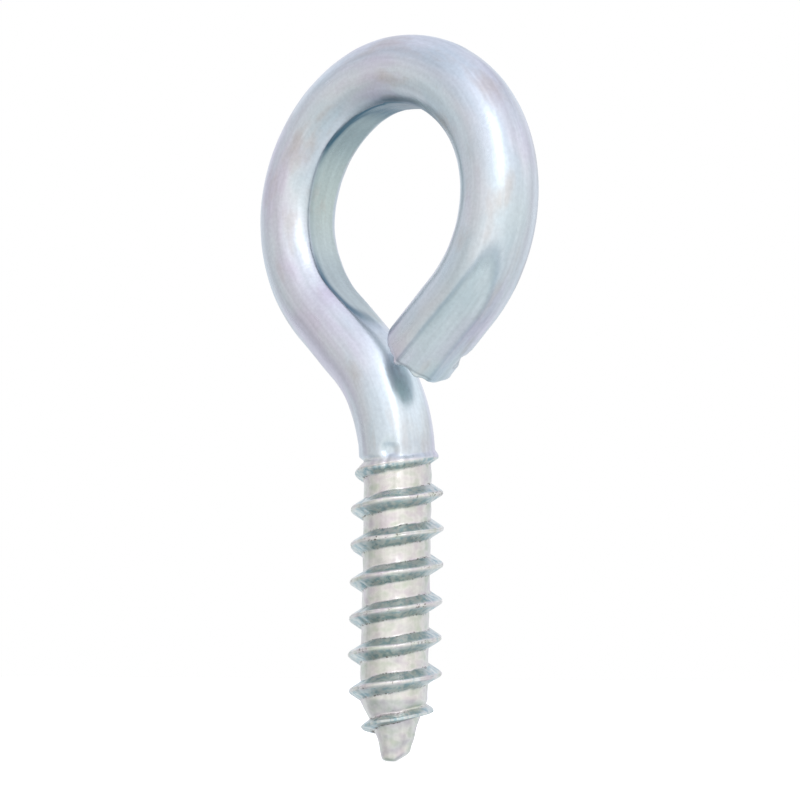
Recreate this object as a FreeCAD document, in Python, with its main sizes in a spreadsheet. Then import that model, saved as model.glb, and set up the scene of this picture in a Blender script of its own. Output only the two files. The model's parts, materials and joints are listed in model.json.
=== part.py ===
"""Screw eye: one bar of zinc-plated steel wire, bent into an open eye above a rolled wood thread.

Frame: millimetres, +Z up through the eye. The origin is on the shank's axis at the top of the
thread, where the surface of the wood lies. The eye lies in the XZ plane, the neck leans to -X and
the free end of the wire comes back down on the +X side.
"""

import FreeCAD, Part
import math
import os

import Sketcher

NODE = "screw_eye"

# name, value, what it is: millimetres, except where it says degrees or turns
SIZES = [
    ("wire_diameter", 7.75, "bar before threading"),
    ("ring_radius", 13.9, "eye, on the bar's centreline"),
    ("ring_height", 25.1, "eye's centre above the top of the thread"),
    ("land_radius", 10.5, "band that the forming mandrel flattens inside the eye"),
    ("neck_radius", 14.3, "bend from the shank out to the eye, on the centreline"),
    ("end_angle", 47.5, "degrees below level where the free end leaves the circle"),
    ("end_length", 7.8, "straight stretch at the free end"),
    ("end_tilt", 2.0, "degrees that the closing half of the eye leans to the front"),
    ("end_round", 0.7, "rounding of the sheared end"),
    ("neck_bottom", -0.4, "height where the plain neck starts to narrow"),
    ("core_top", -0.95, "height where the thread's core reaches its size"),
    ("core_radius", 3.33, "core of the thread"),
    ("crest_radius", 4.7, "outside of the thread"),
    ("pitch", 3.63, "seven threads to the inch"),
    ("crest_width", 0.36, "land at the thread's crest"),
    ("thread_base", 1.9, "width of the thread at the core"),
    ("thread_overlap", 0.3, "how far the thread's section reaches into the core"),
    ("lead_in_depth", 0.8, "how far the crest rises over the first turn"),
    ("thread_start", -0.39, "height of the crest's start, on the +X side"),
    ("lead_in_turns", 1.02, "turns of the rising crest, a little into the full thread"),
    ("full_turns", 5, "turns at full depth"),
    ("point_turns", 1.3, "turns on the tapered point"),
    ("point_cone", 20, "degrees that the crest closes in on the point"),
    ("taper_top", -24.4, "height where the core starts to taper"),
    ("taper_bottom", -27.8, "height where the taper meets the blunt nub"),
    ("nub_radius", 1.8, "nub where it meets the taper"),
    ("tip_radius", 0.95, "blunt end of the nub"),
    ("tip_height", -30.5, "bottom of the screw eye"),
]
SIZE = {name: value for name, value, meaning in SIZES}


def make_sheet(doc):
    """Spreadsheet with one aliased plain number per size."""
    sheet = doc.addObject("Spreadsheet::Sheet", "sizes")
    for row, (name, value, meaning) in enumerate(SIZES, start=1):
        sheet.set(f"A{row}", name)
        sheet.set(f"B{row}", str(value))
        sheet.set(f"C{row}", meaning)
        sheet.setAlias(f"B{row}", name)
    doc.recompute()


def make_sketch(body, name, role):
    """Empty sketch on one of the body's own origin planes."""
    sketch = body.newObject("Sketcher::SketchObject", name)
    plane = next(item for item in body.Origin.OriginFeatures if item.Role == role)
    sketch.AttachmentSupport = (plane, [""])
    sketch.MapMode = "FlatFace"
    return sketch


def line(start, end):
    """Straight sketch line between two points."""
    return Part.LineSegment(FreeCAD.Vector(*start, 0), FreeCAD.Vector(*end, 0))


def arc(centre, radius, start, end):
    """Counter-clockwise sketch arc, its angles in radians."""
    circle = Part.Circle(FreeCAD.Vector(*centre, 0), FreeCAD.Vector(0, 0, 1), radius)
    return Part.ArcOfCircle(circle, start, end)


def dimension(sketch, kind, *elements, value, formula):
    """Sketch dimension with a first value and the sheet formula that drives it."""
    index = sketch.addConstraint(Sketcher.Constraint(kind, *elements, value))
    sketch.setExpression(f"Constraints[{index}]", formula)


def add_circle(sketch, radius, formula):
    """Circle about the sketch's origin."""
    sketch.addGeometry(Part.Circle(FreeCAD.Vector(0, 0, 0), FreeCAD.Vector(0, 0, 1), radius))
    sketch.addConstraint(Sketcher.Constraint("Coincident", 0, 3, -1, 1))
    dimension(sketch, "Radius", 0, value=radius, formula=formula)


def add_outline(sketch, corners):
    """Closed outline of straight lines whose corners are pairs of sheet formulas."""
    points = []
    for across, up in corners:
        points.append((float(sketch.evalExpression(across)), float(sketch.evalExpression(up))))
    count = len(points)
    for index in range(count):
        sketch.addGeometry(line(points[index], points[(index + 1) % count]))
    for index in range(count):
        sketch.addConstraint(Sketcher.Constraint("Coincident", index, 2, (index + 1) % count, 1))
    for index, ((across, up), point) in enumerate(zip(corners, points)):
        if across == "0":
            sketch.addConstraint(Sketcher.Constraint("PointOnObject", index, 1, -2))
        else:
            dimension(sketch, "DistanceX", -1, 1, index, 1, value=point[0], formula=across)
        dimension(sketch, "DistanceY", -1, 1, index, 1, value=point[1], formula=up)


def neck_lean():
    """Angle of the neck's straight stretch, tangent to the bend below and the eye above."""
    reach = SIZE["ring_radius"] + SIZE["neck_radius"]
    span = math.hypot(SIZE["ring_height"], SIZE["neck_radius"])
    return math.asin(reach / span) - math.atan2(SIZE["neck_radius"], SIZE["ring_height"])


def add_neck_path(body):
    """Centreline up the neck, round the -X side and on to the top of the eye."""
    sketch = make_sketch(body, "neck_path", "XZ_Plane")
    lean = neck_lean()
    ring = SIZE["ring_radius"]
    bend = SIZE["neck_radius"]
    height = SIZE["ring_height"]
    bend_end = (bend * (math.cos(lean) - 1), bend * math.sin(lean))
    ring_start = (-ring * math.cos(lean), height - ring * math.sin(lean))
    sketch.addGeometry(line((0, SIZE["neck_bottom"]), (0, 0)))
    sketch.addGeometry(arc((-bend, 0), bend, 0, lean))
    sketch.addGeometry(line(bend_end, ring_start))
    sketch.addGeometry(arc((0, height), ring, math.pi / 2, math.pi + lean))
    straight, bend_arc, flank, ring_arc = range(4)
    sketch.addConstraint([
        Sketcher.Constraint("PointOnObject", straight, 1, -2),
        Sketcher.Constraint("Coincident", straight, 2, -1, 1),
        Sketcher.Constraint("Tangent", straight, 2, bend_arc, 1),
        Sketcher.Constraint("Tangent", bend_arc, 2, flank, 1),
        Sketcher.Constraint("Tangent", flank, 2, ring_arc, 2),
        Sketcher.Constraint("PointOnObject", ring_arc, 3, -2),
        Sketcher.Constraint("PointOnObject", ring_arc, 1, -2),
    ])
    dimension(sketch, "DistanceY", -1, 1, straight, 1, value=SIZE["neck_bottom"], formula="sizes.neck_bottom")
    dimension(sketch, "Radius", bend_arc, value=bend, formula="sizes.neck_radius")
    dimension(sketch, "Radius", ring_arc, value=ring, formula="sizes.ring_radius")
    dimension(sketch, "DistanceY", -1, 1, ring_arc, 3, value=height, formula="sizes.ring_height")
    return sketch


def add_end_path(body):
    """Centreline from the top of the eye down the +X side to the sheared end, leaning to the front."""
    sketch = make_sketch(body, "end_path", "XZ_Plane")
    tilt = FreeCAD.Rotation(FreeCAD.Vector(-1, 0, 0), SIZE["end_tilt"])
    sketch.AttachmentOffset = FreeCAD.Placement(FreeCAD.Vector(0, 0, 0), tilt)
    sketch.setExpression("AttachmentOffset.Base.y", "sizes.ring_height + sizes.ring_radius")
    sketch.setExpression("AttachmentOffset.Rotation.Angle", "sizes.end_tilt")
    ring = SIZE["ring_radius"]
    turn = math.radians(SIZE["end_angle"])
    reach = SIZE["end_length"]
    leave = (ring * math.cos(turn), -ring - ring * math.sin(turn))
    end = (leave[0] - reach * math.sin(turn), leave[1] - reach * math.cos(turn))
    sketch.addGeometry(arc((0, -ring), ring, -turn, math.pi / 2))
    sketch.addGeometry(line(leave, end))
    ring_arc, straight = range(2)
    sketch.addConstraint([
        Sketcher.Constraint("Coincident", ring_arc, 2, -1, 1),
        Sketcher.Constraint("PointOnObject", ring_arc, 3, -2),
        Sketcher.Constraint("Tangent", ring_arc, 1, straight, 1),
    ])
    dimension(sketch, "Radius", ring_arc, value=ring, formula="sizes.ring_radius")
    dimension(sketch, "Distance", straight, 1, straight, 2, value=reach, formula="sizes.end_length")
    dimension(sketch, "DistanceX", ring_arc, 3, ring_arc, 1, value=leave[0],
              formula="sizes.ring_radius * cos(sizes.end_angle * 1 deg)")
    return sketch


def add_pipe(body, name, section, path):
    """Round bar swept along a path sketch."""
    pipe = body.newObject("PartDesign::AdditivePipe", name)
    pipe.Profile = section
    pipe.Spine = (path, [f"Edge{number + 1}" for number in range(path.GeometryCount)])
    pipe.Refine = False


def add_bar(body):
    """Plain bar of the neck and eye, in two tangent sweeps that meet at the top of the eye."""
    radius = SIZE["wire_diameter"] / 2
    neck_section = make_sketch(body, "neck_section", "XY_Plane")
    neck_section.setExpression("AttachmentOffset.Base.z", "sizes.neck_bottom")
    add_circle(neck_section, radius, "sizes.wire_diameter / 2")
    add_pipe(body, "neck_half", neck_section, add_neck_path(body))
    top_section = make_sketch(body, "top_section", "YZ_Plane")
    top_section.setExpression("AttachmentOffset.Base.y", "sizes.ring_height + sizes.ring_radius")
    add_circle(top_section, radius, "sizes.wire_diameter / 2")
    add_pipe(body, "closing_half", top_section, add_end_path(body))


def end_rim(shape):
    """Edge round the sheared end: the circle of the bar's radius that lies furthest to the front."""
    rims = []
    for number, edge in enumerate(shape.Edges, start=1):
        curve = edge.Curve
        if isinstance(curve, Part.Circle) and abs(curve.Radius - SIZE["wire_diameter"] / 2) < 1e-4:
            rims.append((curve.Center.y, f"Edge{number}"))
    return min(rims)[1]


def round_end(doc, body):
    """Rounded rim of the sheared end."""
    doc.recompute()
    bar = body.Tip
    fillet = body.newObject("PartDesign::Fillet", "sheared_end_rim")
    fillet.Base = (bar, [end_rim(bar.Shape)])
    fillet.Radius = SIZE["end_round"]
    fillet.setExpression("Radius", "sizes.end_round")


def add_land(body):
    """Band flattened inside the eye by the forming mandrel."""
    sketch = make_sketch(body, "land_outline", "XZ_Plane")
    sketch.setExpression("AttachmentOffset.Base.y", "sizes.ring_height")
    add_circle(sketch, SIZE["land_radius"], "sizes.land_radius")
    pocket = body.newObject("PartDesign::Pocket", "mandrel_land")
    pocket.Profile = sketch
    pocket.SideType = "Symmetric"
    pocket.Length = 4 * SIZE["wire_diameter"]
    pocket.setExpression("Length", "4 * sizes.wire_diameter")
    pocket.Refine = False


def add_core(body):
    """Core of the thread with its tapered point and blunt nub, turned from one section."""
    sketch = make_sketch(body, "core_section", "XZ_Plane")
    add_outline(sketch, [
        ("0", "sizes.neck_bottom"),
        ("sizes.wire_diameter / 2", "sizes.neck_bottom"),
        ("sizes.core_radius", "sizes.core_top"),
        ("sizes.core_radius", "sizes.taper_top"),
        ("sizes.nub_radius", "sizes.taper_bottom"),
        ("sizes.tip_radius", "sizes.tip_height"),
        ("0", "sizes.tip_height"),
    ])
    core = body.newObject("PartDesign::Revolution", "thread_core")
    core.Profile = sketch
    core.ReferenceAxis = (sketch, ["V_Axis"])
    core.Angle = 360
    core.Refine = False


def add_thread(body, name, height, sink, turns, cone):
    """Right-hand thread that winds down from a height on the +X side.

    height, sink, turns and cone are sheet formulas: where the crest starts, how far it lies under its
    full radius there, its turns, and the degrees that it opens out on the way down.
    """
    sketch = make_sketch(body, f"{name}_section", "XZ_Plane")
    inner = f"sizes.core_radius - sizes.thread_overlap - ({sink})"
    outer = f"sizes.crest_radius - ({sink})"
    slope = "(sizes.thread_base - sizes.crest_width) / 2 / (sizes.crest_radius - sizes.core_radius)"
    half_base = f"(sizes.thread_base / 2 + sizes.thread_overlap * {slope})"
    add_outline(sketch, [
        (inner, f"{height} - {half_base}"),
        (outer, f"{height} - sizes.crest_width / 2"),
        (outer, f"{height} + sizes.crest_width / 2"),
        (inner, f"{height} + {half_base}"),
    ])
    helix = body.newObject("PartDesign::AdditiveHelix", name)
    helix.Profile = sketch
    helix.ReferenceAxis = (sketch, ["V_Axis"])
    helix.Mode = "pitch-turns-angle"
    helix.Reversed = True
    helix.Refine = False
    helix.setExpression("Pitch", "sizes.pitch")
    helix.setExpression("Turns", turns)
    helix.setExpression("Angle", cone)


def build_screw_eye(doc):
    """The whole bar as one body."""
    body = doc.addObject("PartDesign::Body", NODE)
    body.Label = NODE
    add_bar(body)
    round_end(doc, body)
    add_land(body)
    add_core(body)
    full_start = "(sizes.thread_start - sizes.pitch)"
    point_start = "(sizes.thread_start - sizes.pitch - sizes.full_turns * sizes.pitch)"
    add_thread(body, "lead_in_turn", "sizes.thread_start", "sizes.lead_in_depth", "sizes.lead_in_turns",
               "atan(sizes.lead_in_depth / sizes.pitch)")
    add_thread(body, "full_thread", full_start, "0", "sizes.full_turns", "0")
    add_thread(body, "point_thread", point_start, "0", "sizes.point_turns", "-sizes.point_cone")
    return body


def check(doc, body):
    """Stop if any object failed or the solid isn't whole."""
    for item in doc.Objects:
        if "Invalid" in item.State or "Error" in item.State:
            raise SystemExit(f"{item.Label} failed: {item.State}")
    shape = body.Shape
    if shape.isNull() or not shape.isValid() or len(shape.Solids) != 1:
        raise SystemExit(f"{body.Label} is not one valid solid")


def main():
    """Build the document and write the part's shape."""
    doc = FreeCAD.newDocument("ScrewEye")
    make_sheet(doc)
    body = build_screw_eye(doc)
    doc.recompute()
    check(doc, body)
    box = body.Shape.BoundBox
    print(f"{body.Label}: {body.Shape.Volume:.1f} mm3, x {box.XMin:.2f} to {box.XMax:.2f}, "
          f"y {box.YMin:.2f} to {box.YMax:.2f}, z {box.ZMin:.2f} to {box.ZMax:.2f}")
    os.makedirs("parts", exist_ok=True)
    body.Shape.exportStep(f"parts/{body.Label}.step")


main()
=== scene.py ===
"""Zinc-plated wire screw eye: the visible model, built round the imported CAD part.

One bar of cold-formed steel is drawn, bent into an open eye, thread-rolled and plated, so the
object is one mesh. Lengths inside the classes are millimetres in the part's own frame: the shank
runs down Z from the origin at the top of the thread, the eye lies in the XZ plane above it, and
the front faces -Y. The mesh is scaled to metres when it is made.
"""

import json
import logging
import math
from dataclasses import dataclass, field
from enum import Enum
from functools import partial

import bpy
import numpy as np
from mathutils import Matrix, Vector


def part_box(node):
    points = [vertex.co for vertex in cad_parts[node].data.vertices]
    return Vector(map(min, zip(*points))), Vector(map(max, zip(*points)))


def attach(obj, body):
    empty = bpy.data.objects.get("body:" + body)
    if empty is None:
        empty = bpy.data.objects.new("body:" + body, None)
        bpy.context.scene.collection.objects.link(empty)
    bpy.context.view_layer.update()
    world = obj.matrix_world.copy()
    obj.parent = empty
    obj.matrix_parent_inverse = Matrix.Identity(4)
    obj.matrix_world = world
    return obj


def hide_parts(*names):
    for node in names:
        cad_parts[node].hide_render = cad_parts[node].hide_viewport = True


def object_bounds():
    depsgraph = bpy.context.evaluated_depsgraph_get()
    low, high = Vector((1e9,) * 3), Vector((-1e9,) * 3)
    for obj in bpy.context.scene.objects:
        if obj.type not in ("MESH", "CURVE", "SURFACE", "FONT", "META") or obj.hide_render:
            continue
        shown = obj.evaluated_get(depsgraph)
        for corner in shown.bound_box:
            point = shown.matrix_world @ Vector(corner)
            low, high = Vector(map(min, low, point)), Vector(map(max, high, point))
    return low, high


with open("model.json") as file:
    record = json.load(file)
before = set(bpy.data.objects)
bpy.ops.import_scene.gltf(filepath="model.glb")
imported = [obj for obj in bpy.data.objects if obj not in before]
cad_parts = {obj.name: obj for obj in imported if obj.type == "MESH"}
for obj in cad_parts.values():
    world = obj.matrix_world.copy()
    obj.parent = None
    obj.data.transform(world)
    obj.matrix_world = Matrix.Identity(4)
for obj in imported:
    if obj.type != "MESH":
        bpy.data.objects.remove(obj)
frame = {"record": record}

CAD_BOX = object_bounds()
NODE = "screw_eye"
MM = 0.001
TURN = 2 * math.pi
BAR_RADIUS = 3.875
Fields = dict[str, np.ndarray]
Span = tuple[float, float]
Stops = tuple[tuple[float, tuple[float, ...]], ...]
Wall = tuple[tuple[float, tuple[float, float, float]], ...]
Socket = bpy.types.NodeSocket

FIELDS = ("thread_lift", "grime", "rubbed", "pooled", "shielded")

log = logging.getLogger("screw_eye")


def mount(name: str) -> dict:
    """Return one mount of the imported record.

    Args:
        name: the mount's name.

    Returns:
        The mount's own entry.
    """
    return next(entry for entry in frame["record"]["mounts"] if entry["name"] == name)


def linear(colour: str) -> tuple[float, float, float, float]:
    """Turn an sRGB hex colour into the linear colour that a shader takes.

    Args:
        colour: six hex digits after a hash sign.

    Returns:
        Red, green, blue and an alpha of one.
    """
    parts = [int(colour[place:place + 2], 16) / 255 for place in (1, 3, 5)]
    red, green, blue = [
        part / 12.92 if part <= 0.04045 else ((part + 0.055) / 1.055) ** 2.4 for part in parts
    ]
    return red, green, blue, 1.0


def ease(value: np.ndarray, start: float, end: float) -> np.ndarray:
    """Rise smoothly from nought at start to one at end.

    Args:
        value: where to read the step.
        start: value where the step begins.
        end: value where it is complete, above or below start.

    Returns:
        Values from nought to one.
    """
    share = np.clip((value - start) / (end - start), 0.0, 1.0)
    return share * share * (3 - 2 * share)


def soft_max(first: np.ndarray, second: np.ndarray, blend: float) -> np.ndarray:
    """Take the larger of two fields, rounded where they cross.

    Args:
        first: one field.
        second: the other field.
        blend: size of the rounding, in the fields' own unit.

    Returns:
        The rounded maximum.
    """
    gap = np.clip(blend - np.abs(first - second), 0.0, None)
    return np.maximum(first, second) + gap * gap / (4 * blend)


def turned_from(angle: np.ndarray, facing: float) -> np.ndarray:
    """Measure angles from one direction, in radians from minus half a turn to half a turn."""
    return np.mod(angle - facing + math.pi, TURN) - math.pi


@dataclass(frozen=True)
class Unevenness:
    """Smooth, repeatable waviness over a round bar, summed from seeded waves.

    The height is its usual size, the wavelength its shortest along the bar, and most_round the
    most waves that it has round the bar.
    """

    seed: int
    height: float
    wavelength: float
    most_round: int
    waves: int = 14

    def at(self, along: np.ndarray, angle: np.ndarray) -> np.ndarray:
        """Read the waviness.

        Args:
            along: distance along the bar.
            angle: angle round the bar, in radians.

        Returns:
            Height above the true surface.
        """
        draw = np.random.default_rng(self.seed)
        total = np.zeros(np.broadcast(along, angle).shape)
        for _ in range(self.waves):
            rate = draw.uniform(-1, 1) * TURN / self.wavelength
            count = int(draw.integers(-self.most_round, self.most_round + 1))
            total += np.sin(rate * along + count * angle + draw.uniform(0, TURN))
        return total * self.height / math.sqrt(self.waves / 2)


@dataclass(frozen=True)
class Window:
    """Range of a value in which something fades in, holds its strength and fades out."""

    rise: Span
    fall: Span
    strength: float = 1.0

    def at(self, value: np.ndarray) -> np.ndarray:
        """Read the window's strength at each value."""
        return self.strength * ease(value, *self.rise) * ease(value, self.fall[1], self.fall[0])


@dataclass(frozen=True)
class Bend:
    """Centreline of the bar: up the shank, out round the eye and back to the sheared end."""

    ring_radius: float
    ring_height: float
    neck_radius: float = 14.3
    end_angle: float = math.radians(47.5)
    end_length: float = 7.8
    end_tilt: float = math.radians(2.0)
    stroke_flat: float = 0.16
    bow: float = 0.35
    bow_top: float = 7.0
    bow_deepest: float = -3.0
    bow_bottom: float = -27.0
    nub_lean: float = 0.28
    nub_from: float = -24.5
    nub_to: float = -28.5

    @property
    def lean(self) -> float:
        """Lean of the neck's straight stretch, tangent to the bend below and the eye above.

        Returns:
            The lean, in radians.
        """
        span = math.hypot(self.ring_height, self.neck_radius)
        reach = math.asin((self.ring_radius + self.neck_radius) / span)
        return reach - math.atan2(self.neck_radius, self.ring_height)

    @property
    def flank_length(self) -> float:
        """Straight stretch between the neck's bend and the eye."""
        rise = self.ring_height - (self.ring_radius + self.neck_radius) * math.sin(self.lean)
        return rise / math.cos(self.lean)

    @property
    def runs(self) -> list[tuple[float, float]]:
        """List the runs above the origin.

        Returns:
            The length and curvature of each run, a bend to the left being positive.
        """
        quarter = math.pi / 2
        return [
            (self.neck_radius * self.lean, 1 / self.neck_radius),
            (self.flank_length, 0.0),
            (self.ring_radius * (quarter + self.lean), -1 / self.ring_radius),
            (self.ring_radius * (quarter + self.end_angle), -1 / self.ring_radius),
            (self.end_length, 0.0),
        ]

    @property
    def top_at(self) -> float:
        """Distance along the bar to the top of the eye."""
        return sum(length for length, _ in self.runs[:3])

    @property
    def ring_at(self) -> float:
        """Distance along the bar to where the eye's circle starts."""
        return sum(length for length, _ in self.runs[:2])

    @property
    def end_at(self) -> float:
        """Distance along the bar to the sheared end."""
        return sum(length for length, _ in self.runs)

    def flattening(self, along: np.ndarray) -> np.ndarray:
        """Read how far the first half of the eye lies inside its true circle.

        The bender closes that half in two strokes, and the bar stays a little flat between them.

        Args:
            along: distances along the bar.

        Returns:
            Distances inwards.
        """
        quarter = math.pi / 2
        before_top = np.clip((self.top_at - along) / self.ring_radius, 0.0, quarter + self.lean)
        rise = ease(along, self.ring_at - self.flank_length, self.ring_at)
        return self.stroke_flat * np.sin(2 * before_top) ** 2 * rise

    def bowing(self, along: np.ndarray) -> np.ndarray:
        """Read how far the shank bows to +X of its straight axis, and the nub leans that way.

        Args:
            along: distances along the bar.

        Returns:
            Distances along X.
        """
        rise = ease(along, self.bow_top, self.bow_deepest)
        nub = self.nub_lean * ease(along, self.nub_from, self.nub_to)
        return self.bow * rise * ease(along, self.bow_bottom, self.bow_deepest) + nub

    def at(self, along: np.ndarray) -> tuple[np.ndarray, np.ndarray, np.ndarray]:
        """Place points of the centreline.

        Args:
            along: distances along the bar from the origin, negative down the shank.

        Returns:
            The points, the directions towards the eye's middle and the directions to the back.
        """
        spots = np.stack([np.zeros_like(along), np.zeros_like(along), along], axis=-1)
        heading = np.zeros_like(along)
        start, turned, x, z = 0.0, 0.0, 0.0, 0.0
        for length, curve in self.runs:
            here = along > start
            run = np.where(here, along - start, 0.0)
            angle = turned + curve * run
            reach_x, reach_z = self._run(run, turned, curve)
            spots[here, 0] = (x + reach_x)[here]
            spots[here, 2] = (z + reach_z)[here]
            heading[here] = angle[here]
            whole_x, whole_z = self._run(np.array(length), turned, curve)
            x, z = x + float(whole_x), z + float(whole_z)
            turned += curve * length
            start += length
        inward = np.stack([np.cos(heading), np.zeros_like(heading), np.sin(heading)], axis=-1)
        back = np.zeros_like(inward)
        back[:, 1] = 1.0
        spots += self.flattening(along)[:, None] * inward
        spots[:, 0] += self.bowing(along)
        return self._tilt(along, spots, inward, back)

    @staticmethod
    def _run(run: np.ndarray, turned: float, curve: float) -> tuple[np.ndarray, np.ndarray]:
        """Move along one run of constant curvature.

        Args:
            run: distances from the run's start.
            turned: heading at its start, in radians to the left of straight up.
            curve: its curvature.

        Returns:
            The moves along X and Z.
        """
        if curve == 0.0:
            return -math.sin(turned) * run, math.cos(turned) * run
        angle = turned + curve * run
        return (
            (np.cos(angle) - math.cos(turned)) / curve,
            (np.sin(angle) - math.sin(turned)) / curve,
        )

    def _tilt(
        self, along: np.ndarray, spots: np.ndarray, inward: np.ndarray, back: np.ndarray
    ) -> tuple[np.ndarray, np.ndarray, np.ndarray]:
        """Lean the closing half of the eye to the front, about the tangent at its top.

        Args:
            along: distances along the bar.
            spots: centreline points of the flat eye.
            inward: directions towards the eye's middle.
            back: directions to the back.

        Returns:
            The leaning points and directions.
        """
        top = self.ring_height + self.ring_radius
        closing = along > self.top_at
        drop = spots[closing, 2] - top
        spots[closing, 1] = drop * math.sin(self.end_tilt)
        spots[closing, 2] = top + drop * math.cos(self.end_tilt)
        rise = inward[closing, 2].copy()
        inward[closing, 1] = rise * math.sin(self.end_tilt)
        inward[closing, 2] = rise * math.cos(self.end_tilt)
        back[closing, 1] = math.cos(self.end_tilt)
        back[closing, 2] = -math.sin(self.end_tilt)
        return spots, inward, back


class Curve(Enum):
    """How a mapped value moves from one end of its range to the other."""

    STRAIGHT = "LINEAR"
    SMOOTH = "SMOOTHSTEP"


class Fade(Enum):
    """How a pressed flat dies out along the bar."""

    NARROWING = "the tool lifts away, so the flat runs out to a point"
    SHALLOWING = "the bar bends away, so the flat keeps its width and goes round again"


@dataclass(frozen=True)
class Flat:
    """Flat pressed lengthwise into the bar by a tool, facing one way round the bar.

    The edge is the rounding beside it, and the crease how much painted shade lies along its edge.
    """

    facing: float
    depth: float
    start: float
    end: float
    fade_in: float
    fade_out: float
    edge: float = 0.10
    fade: Fade = Fade.NARROWING
    crease_shade: float = 0.0

    def press(
        self, along: np.ndarray, inner: np.ndarray, side: np.ndarray, radius: np.ndarray | float
    ) -> tuple[np.ndarray, np.ndarray, np.ndarray]:
        """Push the bar's section back to the flat.

        Args:
            along: distances along the bar.
            inner: section coordinates towards the eye's middle.
            side: section coordinates to the back.
            radius: the bar's radius, or the reach of the tool's face where that varies.

        Returns:
            The flattened section coordinates, and how far each point was pushed.
        """
        pressed = ease(along, self.start - self.fade_in, self.start)
        pressed = pressed * ease(along, self.end + self.fade_out, self.end)
        narrowing = pressed if self.fade is Fade.NARROWING else 1.0
        limit = radius - self.depth * narrowing + 2 * self.edge * (1 - narrowing)
        reach = inner * math.cos(self.facing) + side * math.sin(self.facing)
        kept = -soft_max(-reach, -limit, self.edge)
        push = (reach - kept) * (1.0 if self.fade is Fade.NARROWING else pressed)
        return inner - push * math.cos(self.facing), side - push * math.sin(self.facing), push


@dataclass(frozen=True)
class Pock:
    """Round dent with a raised rim, where a die or a grip touched the bar."""

    along: float
    facing: float
    radius: float
    depth: float
    rim: float
    wall: Span = (0.98, 0.25)
    rim_width: float = 0.22

    def height(self, along: np.ndarray, angle: np.ndarray, bar_radius: float) -> np.ndarray:
        """Read the dent's height over the bar.

        Args:
            along: distances along the bar.
            angle: angles round the bar, in radians.
            bar_radius: the bar's radius.

        Returns:
            Height above the true surface.
        """
        across = turned_from(angle, self.facing) * bar_radius
        away = np.hypot(along - self.along, across) / self.radius
        bowl = -self.depth * ease(away, *self.wall)
        return bowl + self.rim * np.exp(-(((away - 1.0) / self.rim_width) ** 2))


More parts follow.
